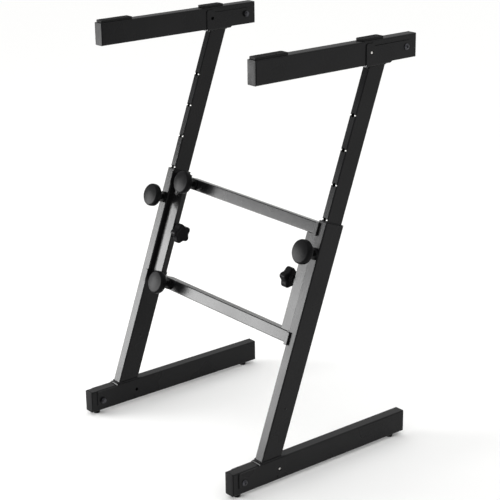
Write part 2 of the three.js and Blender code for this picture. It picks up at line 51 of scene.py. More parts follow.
# Where the pieces stand, as the CAD has them
stand = {
    "lean": radians(19.88),        # how far the uprights and masts lean back
    "halfSpacing": 263.6,          # from the middle of the stand to the middle of each side frame
    "basePivot": (-218.40, 33.0),  # y and z of the lower fold pivots
    "armPivot": (218.40, 880.44),  # y and z of the upper fold pivots
    "footY": -165.15,              # where the uprights' middle line meets the floor
    "fit": 0.3,                    # air left between pieces that touch
    "sides": (("left", -1), ("right", 1)),
}

scaleDown = Matrix.Scale(millimetre, 4)
leanTurn = Matrix.Rotation(-stand["lean"], 4, "X")


def uprightFrame(sign):
    return scaleDown @ Matrix.Translation((sign * stand["halfSpacing"], stand["footY"], 0)) @ leanTurn


def baseFrame(sign):
    return scaleDown @ Matrix.Translation((sign * stand["halfSpacing"], *stand["basePivot"]))


def armFrame(sign):
    place = Matrix.Translation((sign * stand["halfSpacing"], *stand["armPivot"]))
    return scaleDown @ place @ Matrix.Rotation(pi, 4, "X")


crossFrame = scaleDown @ Matrix.Translation((0, stand["footY"], 0)) @ leanTurn
lengthOnX = Matrix(((0, 0, 1), (1, 0, 0), (0, 1, 0))).to_4x4()   # a bar drawn up Z, laid along +X
lengthOnY = Matrix.Rotation(-pi / 2, 4, "X")                     # a bar drawn up Z, laid along +Y
halfTurn = Matrix.Rotation(pi, 4, "Z")


# Materials

def linear(hexColour):
    parts = [int(hexColour[i:i + 2], 16) / 255 for i in (1, 3, 5)]
    return tuple(p / 12.92 if p <= 0.04045 else ((p + 0.055) / 1.055) ** 2.4 for p in parts) + (1.0,)


def addNode(tree, kind, settings=None, links=None):
    node = tree.nodes.new(kind)
    for key, value in (settings or {}).items():
        if key in node.inputs:
            node.inputs[key].default_value = value
        else:
            setattr(node, key, value)
    for key, source in (links or {}).items():
        tree.links.new(source, node.inputs[key])
    return node


def ramp(tree, source, stops):
    node = addNode(tree, "ShaderNodeValToRGB", links={"Fac": source})
    node.color_ramp.elements[0].position = stops[0][0]
    node.color_ramp.elements[0].color = stops[0][1]
    node.color_ramp.elements[1].position = stops[-1][0]
    node.color_ramp.elements[1].color = stops[-1][1]
    for place, colour in stops[1:-1]:
        node.color_ramp.elements.new(place).color = colour
    return node


def grey(level):
    return (level, level, level, 1.0)


# What every finish shares: the detail of its noise, where along it the colours lie and the lighter edges,
# painted highlight and wear, begin, and the numbers of a Mix node's colour sockets, which its names don't
# tell apart
pattern = {
    "grainDetail": 3.0, "grainRoughness": 0.55, "driftDetail": 2.0, "driftRoughness": 0.5,
    "driftFrom": 0.3, "driftTo": 0.7, "wearAndHighlightFrom": 0.9, "wearAndHighlightTo": 0.995, "edgeSamples": 4,
    "mixFirst": 6, "mixSecond": 7, "mixResult": 2,
}


# One recipe serves every finish here: a fine grain in the bump, a broad drift in the colour and the
# roughness,
# and lighter edges: a painted highlight along them, and wear where a hand or another piece rubs
def surface(name, look):
    p = pattern
    material = bpy.data.materials.new(name)
    material.use_nodes = True
    tree = material.node_tree
    tree.nodes.clear()
    place = addNode(tree, "ShaderNodeTexCoord").outputs["Object"]
    grain = addNode(tree, "ShaderNodeTexNoise", {
        "Scale": 1 / (look["grainSize"] * millimetre), "Detail": p["grainDetail"],
        "Roughness": p["grainRoughness"],
    }, {"Vector": place})
    drift = addNode(tree, "ShaderNodeTexNoise", {
        "Scale": 1 / (look["driftSize"] * millimetre), "Detail": p["driftDetail"],
        "Roughness": p["driftRoughness"],
    }, {"Vector": place}).outputs["Fac"]
    colour = ramp(tree, drift, [
        (p["driftFrom"], linear(look["colourLow"])), (p["driftTo"], linear(look["colourHigh"])),
    ])
    smoothest = look["roughness"] - look["roughnessSwing"]
    roughest = look["roughness"] + look["roughnessSwing"]
    rough = ramp(tree, drift, [(p["driftFrom"], grey(smoothest)), (p["driftTo"], grey(roughest))])
    base = colour.outputs["Color"]
    # the edges are lightened: a painted highlight along them, and wear
    if "edgeWearAndHighlight" in look:
        eased = addNode(tree, "ShaderNodeBevel", {
            "Radius": look["edgeSize"] * millimetre, "samples": p["edgeSamples"],
        }).outputs["Normal"]
        flat = addNode(tree, "ShaderNodeNewGeometry").outputs["Normal"]
        facing = addNode(tree, "ShaderNodeVectorMath", {"operation": "DOT_PRODUCT"}, {0: eased, 1: flat})
        wearAndHighlight = ramp(tree, facing.outputs["Value"], [
            (p["wearAndHighlightFrom"], grey(look["edgeWearAndHighlight"])), (p["wearAndHighlightTo"], grey(0)),
        ]).outputs["Color"]
        mix = addNode(tree, "ShaderNodeMix", {"data_type": "RGBA"}, {"Factor": wearAndHighlight, p["mixFirst"]: base})
        mix.inputs[p["mixSecond"]].default_value = linear(look["edgeColour"])
        base = mix.outputs[p["mixResult"]]
    bump = addNode(tree, "ShaderNodeBump", {
        "Strength": look["grainStrength"], "Distance": look["grainDepth"] * millimetre,
    }, {"Height": grain.outputs["Fac"]})
    shader = addNode(tree, "ShaderNodeBsdfPrincipled", {
        "Metallic": look.get("metallic", 0.0), "Specular IOR Level": look.get("specular", 0.5),
    }, {"Base Color": base, "Roughness": rough.outputs["Color"], "Normal": bump.outputs["Normal"]})
    if "ior" in look:
        shader.inputs["IOR"].default_value = look["ior"]
    addNode(tree, "ShaderNodeOutputMaterial", links={"Surface": shader.outputs["BSDF"]})
    return material


# Polyester powder coat, sprayed and baked on steel, with a faint orange peel. The peel is 1 to 2 mm across
# on the real one and is drawn so, and the drift is the spray's unevenness.
powderCoat = {
    "roughnessSwing": 0.03, "ior": 1.5, "grainSize": 1.6, "grainDepth": 0.1, "grainStrength": 0.6,
    # its lighter edges are a painted highlight along them, and wear
    "driftSize": 90, "edgeWearAndHighlight": 0.35, "edgeColour": "#2c2d2e", "edgeSize": 1.0,
}

# Moulded, plated and rubber grains are finer than 0.3 mm on the real ones, and are drawn 0.5 to 1 mm
# across so that they show
finishes = {
    # The side frames' coat, satin black
    "satinPowderCoat": {
        **powderCoat, "colourLow": "#131314", "colourHigh": "#181819", "roughness": 0.28, "specular": 0.15,
    },
    # The H-frame is coated apart from the side frames, in a powder that bakes a little glossier
    "glossyPowderCoat": {
        **powderCoat, "colourLow": "#101011", "colourHigh": "#151516", "roughness": 0.27, "specular": 0.2,
    },
    # The masts' coat, smoother where sliding polishes it, and darker than the uprights' coat as painted
    # shade on the masts
    "shadedMastPowderCoat": {
        **powderCoat, "colourLow": "#0d0d0e", "colourHigh": "#121213", "roughness": 0.24, "specular": 0.17,
        "grainDepth": 0.06, "grainStrength": 0.4, "edgeSize": 0.8,
    },
    # A dull coat on the small turned housings, which hold it thick and matt; its darker colour is painted
    # shade under the knob heads
    "dullShadedPowderCoat": {
        **powderCoat, "colourLow": "#0a0a0b", "colourHigh": "#0f0f10", "roughness": 0.5, "specular": 0.045,
        "roughnessSwing": 0.04, "grainSize": 1.0, "grainDepth": 0.05, "grainStrength": 0.4,
        "driftSize": 20, "edgeWearAndHighlight": 0.3, "edgeSize": 0.6,
    },
    # Glass-filled nylon for the pull knobs and star knobs, moulded: a spark-eroded grain gives a soft
    # sheen, and the lighter edges are a painted highlight along them
    "mouldedNylon": {
        "colourLow": "#0f0f10", "colourHigh": "#141415", "roughness": 0.31, "roughnessSwing": 0.03,
        "ior": 1.53, "specular": 0.035, "grainSize": 0.8, "grainDepth": 0.03, "grainStrength": 0.3,
        "driftSize": 30, "edgeWearAndHighlight": 0.6, "edgeColour": "#464647", "edgeSize": 0.9,
    },
    # Polypropylene for the end caps, collars and glides, moulded with a coarser and duller grain; the
    # lighter edges are a painted highlight along them
    "mouldedPolypropylene": {
        "colourLow": "#101011", "colourHigh": "#161617", "roughness": 0.46, "roughnessSwing": 0.04,
        "ior": 1.49, "specular": 0.09, "grainSize": 1.0, "grainDepth": 0.03, "grainStrength": 0.3,
        "driftSize": 40, "edgeWearAndHighlight": 0.6, "edgeColour": "#3c3c3e", "edgeSize": 0.8,
    },
    # Acetal for the saddles, moulded smooth: its front catches the light as the painted bars do
    "smoothAcetal": {
        "colourLow": "#0e0e0f", "colourHigh": "#131314", "roughness": 0.29, "roughnessSwing": 0.03,
        "ior": 1.48, "specular": 0.18, "grainSize": 1.0, "grainDepth": 0.02, "grainStrength": 0.3,
        "driftSize": 30,
    },
    # Natural rubber with carbon black, pressed, for feet and pads: matt, with a bloom that greys it in
    # patches.
    # On the saddles' lip ends it is painted shade.
    "blackRubberAndShade": {
        "colourLow": "#0b0b0c", "colourHigh": "#131313", "roughness": 0.78, "roughnessSwing": 0.07,
        "ior": 1.52, "specular": 0.2, "grainSize": 0.5, "grainDepth": 0.06, "grainStrength": 0.5,
        "driftSize": 14,
    },
    # Zinc plate on the springs and clamp screws, bright and slightly blue
    "brightZinc": {
        "colourLow": "#9fa4a8", "colourHigh": "#c4c8ca", "roughness": 0.27, "roughnessSwing": 0.06,
        "metallic": 1.0, "grainSize": 0.5, "grainDepth": 0.02, "grainStrength": 0.35, "driftSize": 6,
    },
    # Black oxide on the pivot bolts: steel blued nearly black, with an oily sheen
    "blackOxide": {
        "colourLow": "#3c3c3f", "colourHigh": "#525256", "roughness": 0.32, "roughnessSwing": 0.05,
        "metallic": 1.0, "grainSize": 0.5, "grainDepth": 0.02, "grainStrength": 0.35, "driftSize": 5,
    },
    # Nickel plate on the lock buttons, bright and a little warm
    "brightNickel": {
        "colourLow": "#dcdad6", "colourHigh": "#e9e7e3", "roughness": 0.5, "roughnessSwing": 0.05,
        "metallic": 1.0, "grainSize": 0.5, "grainDepth": 0.02, "grainStrength": 0.3, "driftSize": 4,
    },
    # Index marks: white enamel printed across the masts beside each hole
    "whiteEnamel": {
        "colourLow": "#d4d4d1", "colourHigh": "#e6e6e3", "roughness": 0.45, "roughnessSwing": 0.05,
        "ior": 1.5, "grainSize": 0.7, "grainDepth": 0.02, "grainStrength": 0.3, "driftSize": 5,
    },
}
materials = {name: surface(name, look) for name, look in finishes.items()}
print("stage: materials made")


# Shapes, drawn in millimetres and placed by finishPiece

finishing = {
    # points closer together than this are one: in a cut, at a turned shape's pole, in a piece, in a copy
    "cutMerge": 0.0001, "poleMerge": 0.002, "merge": 0.004, "copyMerge": 0.01,
    "roundFrom": radians(40),   # sharper edges than this are rounded
    "flatWeight": 100,          # how firmly a broad flat keeps its normal beside a rounded corner
    "copyFlat": radians(1), "copySmooth": 50,
}


def roundedFace(bm, width, depth, corner, segments=6):
    made = bmesh.ops.create_grid(bm, x_segments=1, y_segments=1, size=0.5)
    bmesh.ops.scale(bm, vec=(width, depth, 1), verts=made["verts"])
    bmesh.ops.bevel(bm, geom=made["verts"], offset=corner, affect="VERTICES", segments=segments,
                    profile=0.5, material=-1)
    return bm.faces[:]


def block(x, y, z):
    bm = bmesh.new()
    bmesh.ops.create_cube(bm, size=1)
    bmesh.ops.scale(bm, vec=(x, y, z), verts=bm.verts)
    return bm


def moved(bm, x=0, y=0, z=0):
    bmesh.ops.translate(bm, vec=(x, y, z), verts=bm.verts)
    return bm


def laid(bm, matrix):
    bmesh.ops.transform(bm, matrix=matrix, verts=bm.verts)
    return bm


def extrudeUp(bm, faces, height):
    made = bmesh.ops.extrude_face_region(bm, geom=faces)
    verts = [g for g in made["geom"] if isinstance(g, bmesh.types.BMVert)]
    bmesh.ops.translate(bm, vec=(0, 0, height), verts=verts)


# Grows a face through rings of (inset, height) from its own outline and level, given half its size
def growRings(bm, face, halfX, halfY, rings):
    lastInset, lastHeight = 0, 0
    foot = face.verts[:]
    for inset, height in rings:
        face = bmesh.ops.extrude_discrete_faces(bm, faces=[face])["faces"][0]
        shrink = ((halfX - inset) / (halfX - lastInset), (halfY - inset) / (halfY - lastInset), 1)
        bmesh.ops.scale(bm, vec=shrink, verts=face.verts)
        bmesh.ops.translate(bm, vec=(0, 0, height - lastHeight), verts=face.verts)
        lastInset, lastHeight = inset, height
    bm.faces.new(foot[::-1])


# A quarter round as such rings, from the outline in to the top
def roundOver(radius, base, steps=5):
    turns = [pi / 2 * i / steps for i in range(1, steps + 1)]
    return [(radius * (1 - cos(turn)), base + radius * sin(turn)) for turn in turns]


def tubeShape(width, depth, corner, wall, start, end):
    bm = bmesh.new()
    faces = roundedFace(bm, width, depth, corner)
    ring = bmesh.ops.inset_individual(bm, faces=faces, thickness=wall, use_even_offset=True)["faces"]
    bmesh.ops.delete(bm, geom=[f for f in bm.faces if f not in ring], context="FACES_ONLY")
    moved(bm, z=start)
    extrudeUp(bm, ring, end - start)
    bmesh.ops.recalc_face_normals(bm, faces=bm.faces)
    return bm


# Rounds the corners of a profile whose points are (radius, out, rounding)
def softProfile(points, steps):
    soft = []
    for i, (radius, out, rounding) in enumerate(points):
        here = Vector((radius, out))
        if not rounding:
            soft.append(here)
            continue
        back = Vector(points[i - 1][:2]) - here
        ahead = Vector(points[(i + 1) % len(points)][:2]) - here
        first = here + back.normalized() * min(rounding, back.length / 2)
        last = here + ahead.normalized() * min(rounding, ahead.length / 2)
        for k in range(steps + 1):
            t = k / steps
            soft.append(first * (1 - t) ** 2 + here * 2 * t * (1 - t) + last * t ** 2)
    return soft


# A profile turned about the Y axis, which runs out along -Y
def turnedShape(points, sides=48, closed=False, steps=5):
    bm = bmesh.new()
    verts = [bm.verts.new((p.x, -p.y, 0)) for p in softProfile(points, steps)]
    edges = [bm.edges.new(pair) for pair in zip(verts, verts[1:] + verts[:1] * closed)]
    bmesh.ops.spin(bm, geom=verts + edges, cent=(0, 0, 0), axis=(0, 1, 0), angle=2 * pi, steps=sides,
                   use_merge=True)
    bmesh.ops.remove_doubles(bm, verts=bm.verts, dist=finishing["poleMerge"])
    bmesh.ops.recalc_face_normals(bm, faces=bm.faces)
    return bm


def rodShape(radius, start, end, sides=32, axis="X"):
    bm = bmesh.new()
    bmesh.ops.create_circle(bm, cap_ends=True, radius=radius, segments=sides)
    moved(bm, z=start)
    extrudeUp(bm, bm.faces[:], end - start)
    laid(bm, Matrix.Rotation(pi / 2, 4, "Y") if axis == "X" else lengthOnY)
    bmesh.ops.recalc_face_normals(bm, faces=bm.faces)
    return bm


def joined(*shapes):
    whole = bmesh.new()
    for bm in shapes:
        part = bpy.data.meshes.new("part")
        bm.to_mesh(part)
        bm.free()
        whole.from_mesh(part)
        bpy.data.meshes.remove(part)
    return whole


def looseObject(bm, name):
    mesh = bpy.data.meshes.new(name)
    bm.to_mesh(mesh)
    bm.free()
    obj = bpy.data.objects.new(name, mesh)
    bpy.context.scene.collection.objects.link(obj)
    return obj


# Takes the cutter away from the body, or keeps what they share
def boolean(body, cutter, operation="DIFFERENCE"):
    bodyObject = looseObject(body, "body")
    cutterObject = looseObject(cutter, "cutter")
    modifier = bodyObject.modifiers.new("cut", "BOOLEAN")
    modifier.operation = operation
    modifier.solver = "EXACT"
    modifier.object = cutterObject
    depsgraph = bpy.context.evaluated_depsgraph_get()
    result = bpy.data.meshes.new_from_object(bodyObject.evaluated_get(depsgraph))
    bm = bmesh.new()
    bm.from_mesh(result)
    for obj in (bodyObject, cutterObject):
        mesh = obj.data
        bpy.data.objects.remove(obj)
        bpy.data.meshes.remove(mesh)
    bpy.data.meshes.remove(result)
    return bm


# A body is a name, or for a spring (one body, another body, its end on the one, its end on the other),
# which is not used: the spring is only fixed where it is placed
def finishPiece(name, bm, place, finish, body, replaced=(), edge=0.0, edgeSegments=2, smooth=35):
    bmesh.ops.remove_doubles(bm, verts=bm.verts, dist=finishing["merge"])
    bmesh.ops.dissolve_degenerate(bm, edges=bm.edges, dist=finishing["merge"])
    laid(bm, place)
    bmesh.ops.recalc_face_normals(bm, faces=bm.faces)
    obj = looseObject(bm, name)
    obj.data.materials.append(materials[finish])
    obj.data.polygons.foreach_set("use_smooth", [True] * len(obj.data.polygons))
    obj.data.set_sharp_from_angle(angle=radians(smooth))
    if edge:
        bevel = obj.modifiers.new("roundedEdges", "BEVEL")
        bevel.width = edge * millimetre
        bevel.segments = edgeSegments
        bevel.limit_method = "ANGLE"
        bevel.angle_limit = finishing["roundFrom"]
        bevel.harden_normals = True
    weighted = obj.modifiers.new("flatsStayFlat", "WEIGHTED_NORMAL")
    weighted.keep_sharp = True
    weighted.weight = finishing["flatWeight"]
    if isinstance(body, str):
        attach(obj, body)
    else:
        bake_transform(obj)
    if replaced:
        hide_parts(*replaced)
    return obj


# A rounded copy of a CAD node: its triangles are merged, its flats made whole, its edges eased
def easedCopy(name, node, finish, body, edge, segments=2, reshape=None):
    bm = bmesh.new()
    bm.from_mesh(nodes[node].data)
    bmesh.ops.remove_doubles(bm, verts=bm.verts, dist=finishing["copyMerge"] * millimetre)
    bmesh.ops.dissolve_limit(bm, angle_limit=finishing["copyFlat"], verts=bm.verts, edges=bm.edges)
    bmesh.ops.scale(bm, vec=(1 / millimetre,) * 3, verts=bm.verts)
    if reshape:
        reshape(bm)
    return finishPiece(name, bm, scaleDown, finish, body, (node,), edge, segments,
                       finishing["copySmooth"])


# Steel tubes of the side frames, with the small pressed dimple low on the +X side of each upright
tubes = {
    "wide": 25, "deep": 50, "corner": 3, "wall": 1.5,
    "baseLength": 485.8, "armLength": 424.8, "pivotInset": 29.5, "capFlange": 2.5,
    "boltHole": 4.3, "lockHole": 4, "lockReach": 95.4,
    "uprightTop": 570.5, "lockHeight": 503.5, "noseHole": 4.4, "bracketLevel": 27.8,
    "starHeight": 436.2, "stileDeep": 15,
    "dimpleHeight": 174.8, "dimpleRadius": 3.2, "dimpleRise": 1.1, "dimpleSides": 24,
}
swinging = (("base", tubes["baseLength"], baseFrame), ("arm", tubes["armLength"], armFrame))


def swingingTube(length):
    t = tubes
    start = t["capFlange"] + stand["fit"] - t["pivotInset"]
    end = length - t["pivotInset"] - t["capFlange"] - stand["fit"]
    tube = tubeShape(t["wide"], t["deep"], t["corner"], t["wall"], start, end)
    laid(tube, lengthOnY)
    holes = joined(
        rodShape(t["boltHole"], -t["wide"], t["wide"]),
        moved(rodShape(t["lockHole"], -t["wide"], t["wide"]), y=t["lockReach"]),
    )
    return boolean(tube, holes)


# All of a tube that lies under or over a level plane, in the leaned frame, as one great block
def levelBlock(level, above=False):
    size = 600
    bm = moved(block(size, size, size), z=size / 2 if above else -size / 2)
    return moved(laid(bm, leanTurn.inverted()), z=level / cos(stand["lean"]))


def upright(sign):
    t = tubes
    front = -t["deep"] / 2
    side = -sign * t["wide"] / 2
    tube = tubeShape(t["wide"], t["deep"], t["corner"], t["wall"], 0, t["uprightTop"])
    level = stand["basePivot"][1] + t["bracketLevel"] + stand["fit"]
    holes = joined(
        levelBlock(level),
        moved(rodShape(t["noseHole"], front - t["wide"], front + 2 * t["wall"], axis="Y"),
              z=t["lockHeight"]),
        moved(rodShape(t["boltHole"], side - t["wall"] * 3, side + t["wall"] * 3), y=-t["stileDeep"] / 2,
              z=t["starHeight"]),
    )
    return boolean(tube, holes)


for side, sign in stand["sides"]:
    for part, length, place in swinging:
        finishPiece(f"{side}_{part}_tube_round", swingingTube(length), place(sign), "satinPowderCoat",
                    f"{side}_{part}", (f"{side}_{part}_tube",))
    finishPiece(f"{side}_upright_round", upright(sign), uprightFrame(sign), "satinPowderCoat",
                f"{side}_frame", (f"{side}_upright",))
    dimple = bmesh.new()
    bmesh.ops.create_uvsphere(dimple, u_segments=tubes["dimpleSides"], v_segments=tubes["dimpleSides"] // 2,
                              radius=tubes["dimpleRadius"])
    bmesh.ops.scale(dimple, vec=(tubes["dimpleRise"] / tubes["dimpleRadius"], 1, 1), verts=dimple.verts)
    moved(dimple, x=tubes["wide"] / 2, z=tubes["dimpleHeight"])
    finishPiece(f"{side}_upright_dimple", dimple, uprightFrame(sign), "satinPowderCoat", f"{side}_frame")
print("stage: side frame tubes made")


# Telescoping masts, with the index marks beside each lock hole
masts = {
    "wide": 18, "deep": 43, "corner": 2.5, "wall": 1.5, "tail": 73, "reach": 958.4,
    "holeDrop": 162.5, "pitch": 73.1, "holes": 5, "holeRadius": 4.4,
    "markTall": 2.6, "markFromHole": 0.25, "markThick": 0.12,
    "markShort": 3,   # a mark leaves one part in three of the tube's rounded corner bare
}


def mastHoleHeights():
    m = masts
    return [m["reach"] - m["holeDrop"] - i * m["pitch"] for i in range(m["holes"])]


def mast():
    m = masts
    tube = tubeShape(m["wide"], m["deep"], m["corner"], m["wall"], tubes["lockHeight"] - m["tail"],
                     m["reach"])
    front = -m["deep"] / 2
    level = stand["armPivot"][1] - tubes["bracketLevel"] - stand["fit"]
    holes = [
        moved(rodShape(m["holeRadius"], front - m["deep"] / 2, front + 2 * m["wall"], axis="Y"), z=height)
        for height in mastHoleHeights()
    ]
    return boolean(tube, joined(levelBlock(level, above=True), *holes))


# Each mark is a patch of a thin skin round the tube, from beside the hole round to the tube's side
def indexMarks():
    m = masts
    thick = m["markThick"]
    skin = tubeShape(m["wide"] + 2 * thick, m["deep"] + 2 * thick, m["corner"] + thick, 2 * thick,
                     tubes["lockHeight"] - m["tail"], m["reach"])
    inside = m["holeRadius"] + m["markFromHole"]
    outside = m["wide"] / 2 + thick - m["corner"] / m["markShort"]
    patches = []
    for height in mastHoleHeights():
        for way in (-1, 1):
            patch = block(outside - inside, m["corner"] * 2, m["markTall"])
            patches.append(moved(patch, x=way * (inside + outside) / 2, y=-m["deep"] / 2, z=height))
    return boolean(skin, joined(*patches), "INTERSECT")


for side, sign in stand["sides"]:
    # the masts' darker coat is painted shade
    finishPiece(f"{side}_mast_round", mast(), uprightFrame(sign), "shadedMastPowderCoat", f"{side}_mast_set",
                (f"{side}_mast",))
    finishPiece(f"{side}_mast_index_marks", indexMarks(), uprightFrame(sign), "whiteEnamel",
                f"{side}_mast_set")
print("stage: masts made")


# H-frame: crossbars that telescope, and the flat stiles welded between them
cross = {
    "levels": (("upper", 553.4), ("lower", 319.0)),
    "tall": 25, "deep": 30, "wall": 1.5, "corner": 2, "leftEnd": -206, "inset": 27.6,
    "slideGap": 0.75, "innerReach": 62, "knobPlace": -179, "holePitch": 50, "holes": 5, "holeRadius": 4.4,
    "stileWide": 36, "stileDeep": 15, "stileCorner": 2, "saddleTall": 27,
}
cross["barEnd"] = stand["halfSpacing"] - cross["inset"]
cross["stileMiddle"] = stand["halfSpacing"] - tubes["wide"] / 2 - stand["fit"] - cross["stileWide"] / 2


def crossbar(tall, deep, corner, start, end, holePlaces):
    c = cross
    bar = laid(tubeShape(deep, tall, corner, c["wall"], start, end), lengthOnX)
    holes = [
        moved(rodShape(c["holeRadius"], -deep, -deep / 2 + 2 * c["wall"], axis="Y"), x=place)
        for place in holePlaces
    ]
    return boolean(bar, joined(*holes))


def stile(sign, low, high):
    c = cross
    tube = tubeShape(c["stileWide"], c["stileDeep"], c["stileCorner"], c["wall"], low, high)
    moved(tube, y=-c["stileDeep"] / 2)
    notches = []
    for _, height in c["levels"]:
        notch = block(2 * c["inset"], 4 * c["deep"], c["saddleTall"] + 2 * stand["fit"])
        notches.append(moved(notch, x=sign * (c["barEnd"] + c["inset"] - c["stileMiddle"]), z=height))
    hole = moved(rodShape(tubes["boltHole"], -c["stileWide"], c["stileWide"]), y=-c["stileDeep"] / 2,
                 z=tubes["starHeight"])
    return boolean(tube, joined(hole, *notches))


inner = {
    "tall": cross["tall"] - 2 * (cross["wall"] + cross["slideGap"]),
    "deep": cross["deep"] - 2 * (cross["wall"] + cross["slideGap"]),
    "corner": 1.25,
}
for level, height in cross["levels"]:
    place = crossFrame @ Matrix.Translation((0, 0, height))
    outer = crossbar(cross["tall"], cross["deep"], cross["corner"], cross["leftEnd"], cross["barEnd"],
                     [cross["knobPlace"]])
    finishPiece(f"{level}_outer_crossbar_round", outer, place, "glossyPowderCoat", "right_frame",
                (f"{level}_outer_crossbar",))
    places = [cross["knobPlace"] + i * cross["holePitch"] for i in range(cross["holes"])]
    sliding = crossbar(inner["tall"], inner["deep"], inner["corner"], -cross["barEnd"],
                       cross["innerReach"], places)
    finishPiece(f"{level}_inner_bar_round", sliding, place, "glossyPowderCoat", "left_frame",
                (f"{level}_inner_bar",))
for side, sign in stand["sides"]:
    clear = (inner["tall"] if sign < 0 else cross["tall"]) / 2 + stand["fit"]
    shape = stile(sign, cross["levels"][1][1] + clear, cross["levels"][0][1] - clear)
    place = crossFrame @ Matrix.Translation((sign * cross["stileMiddle"], 0, 0))
    finishPiece(f"{side}_stile_round", shape, place, "glossyPowderCoat", f"{side}_frame",
                (f"{side}_stile",))
print("stage: H-frame made")


# Pressed brackets, collars and glides keep the CAD's shape with eased edges, and so do the saddles, whose
# lips grow thicker and end in a black strip: the rubber finish laid on as painted shade where the lips meet
# the upright
eased = {"edge": 0.5, "saddleEdge": 0.6, "saddleSegments": 3}
saddles = {
    "lipFrom": 0.1, "lipExtra": 2.4,
    "lipReach": 6.5,   # how far the lips reach past the upright's inner side
    "shadeStripDepth": 0.2,
}
saddles["stripFrom"] = (
    stand["halfSpacing"] - tubes["wide"] / 2 + saddles["lipReach"] - saddles["shadeStripDepth"]
)


def thickenLips(bm):
    place = Matrix.Translation((0, stand["footY"], 0)) @ leanTurn
    laid(bm, place.inverted())
    for way in (-1, 1):
        lip = [v for v in bm.verts if v.co.y * way > tubes["deep"] / 2 + stand["fit"] + saddles["lipFrom"]]
        bmesh.ops.translate(bm, vec=(0, way * saddles["lipExtra"], 0), verts=lip)
    laid(bm, place)


for side, _ in stand["sides"]:
    for name, node, finish, body, slot in (
        ("base_bracket", "base_bracket", "satinPowderCoat", "frame", "powder_coat"),
        ("arm_bracket", "arm_bracket", "satinPowderCoat", "mast_set", "powder_coat"),
        ("collar", "collar", "mouldedPolypropylene", "frame", "plastic"),
        ("glide", "mast_glide", "mouldedPolypropylene", "mast_set", "plastic"),
    ):
        easedCopy(f"{side}_{name}_eased", f"{side}_{node}", finish, f"{side}_{body}", eased["edge"])
    for level, _ in cross["levels"]:
        saddle = easedCopy(f"{side}_{level}_saddle_eased", f"{side}_{level}_saddle", "smoothAcetal",
                           f"{side}_frame", eased["saddleEdge"], eased["saddleSegments"],
                           thickenLips)
        # the lip ends take the black rubber finish as painted shade where the lips meet the upright
        saddle.data.materials.append(materials["blackRubberAndShade"])
        for polygon in saddle.data.polygons:
            if abs(polygon.center.x) > saddles["stripFrom"] * millimetre:
                polygon.material_index = 1
print("stage: brackets, collars and saddles made")


# Fillet welds, painted over, where each upright and mast is joined to its pressed bracket
welds = {
    "radius": 1.7, "sunk": 0.5, "outward": 0.5, "ripple": 0.22, "ripplePitch": 2.4, "step": 0.6,
    "sides": 10, "smooth": 60,
}


# One bead laid round a tube's outline on a level plane: a ring of small circles, swelling at each ripple
def weldBead(wide, deep, corner, level):
    w = welds
    slope = tan(stand["lean"])
    outline = []
    bends = max(2, round(pi / 2 * corner / w["step"]))
    for turn, (sideX, sideY) in enumerate(((1, 1), (-1, 1), (-1, -1), (1, -1))):
        middle = Vector((sideX * (wide / 2 - corner), sideY * (deep / 2 - corner)))
        for i in range(bends + 1):
            angle = pi / 2 * (turn + i / bends)
            outline.append((middle, Vector((cos(angle), sin(angle)))))
    points = []
    for k, (middle, way) in enumerate(outline):
        here = middle + way * corner
        nextMiddle, nextWay = outline[(k + 1) % len(outline)]
        there = nextMiddle + nextWay * corner
        runs = max(1, round((there - here).length / w["step"]))
        for i in range(runs):
            points.append((here.lerp(there, i / runs), way.lerp(nextWay, i / runs).normalized()))
    bm = bmesh.new()
    rings = []
    along = 0
    for k, (here, way) in enumerate(points):
        swell = w["radius"] + w["ripple"] * cos(2 * pi * along / w["ripplePitch"])
        middle = here + way * (swell - w["sunk"]) * w["outward"]
        # the tube stands in the leaned frame, so a level plane climbs with its depth
        foot = level / cos(stand["lean"]) + middle.y * slope
        ring = []
        for i in range(w["sides"]):
            angle = 2 * pi * i / w["sides"]
            out = swell * cos(angle)
            rise = swell * sin(angle)
            ring.append(bm.verts.new((middle.x + way.x * out, middle.y + way.y * out, foot + rise)))
        rings.append(ring)
        along += (points[(k + 1) % len(points)][0] - here).length
    for k, ring in enumerate(rings):
        after = rings[(k + 1) % len(rings)]
        for i in range(w["sides"]):
            j = (i + 1) % w["sides"]
            bm.faces.new((ring[i], ring[j], after[j], after[i]))
    return bm


footLevel = stand["basePivot"][1] + tubes["bracketLevel"]
headLevel = stand["armPivot"][1] - tubes["bracketLevel"]
joints = (("base", tubes, footLevel, "frame"), ("arm", masts, headLevel, "mast_set"))
for side, sign in stand["sides"]:
    for part, tube, level, body in joints:
        bead = weldBead(tube["wide"], tube["deep"], tube["corner"], level)
        finishPiece(f"{side}_{part}_bracket_weld", bead, uprightFrame(sign), "satinPowderCoat",
                    f"{side}_{body}", smooth=welds["smooth"])
print("stage: welds made")


# End caps: a pillowed flange as large as the tube, and a hollow plug inside it
caps = {
    "flange": 2.5, "groove": 1.1, "grooveRise": 0.2, "bevel": 0.6, "pillow": 0.5,
    "pillowRings": ((1.5, 0.35), (3.5, 0.7), (7, 1)),   # how far in, and its share of the pillow's height
    "plug": 14, "plugWall": 2, "plugCorner": 1.5, "plugInFlange": 0.25, "smooth": 40,
}


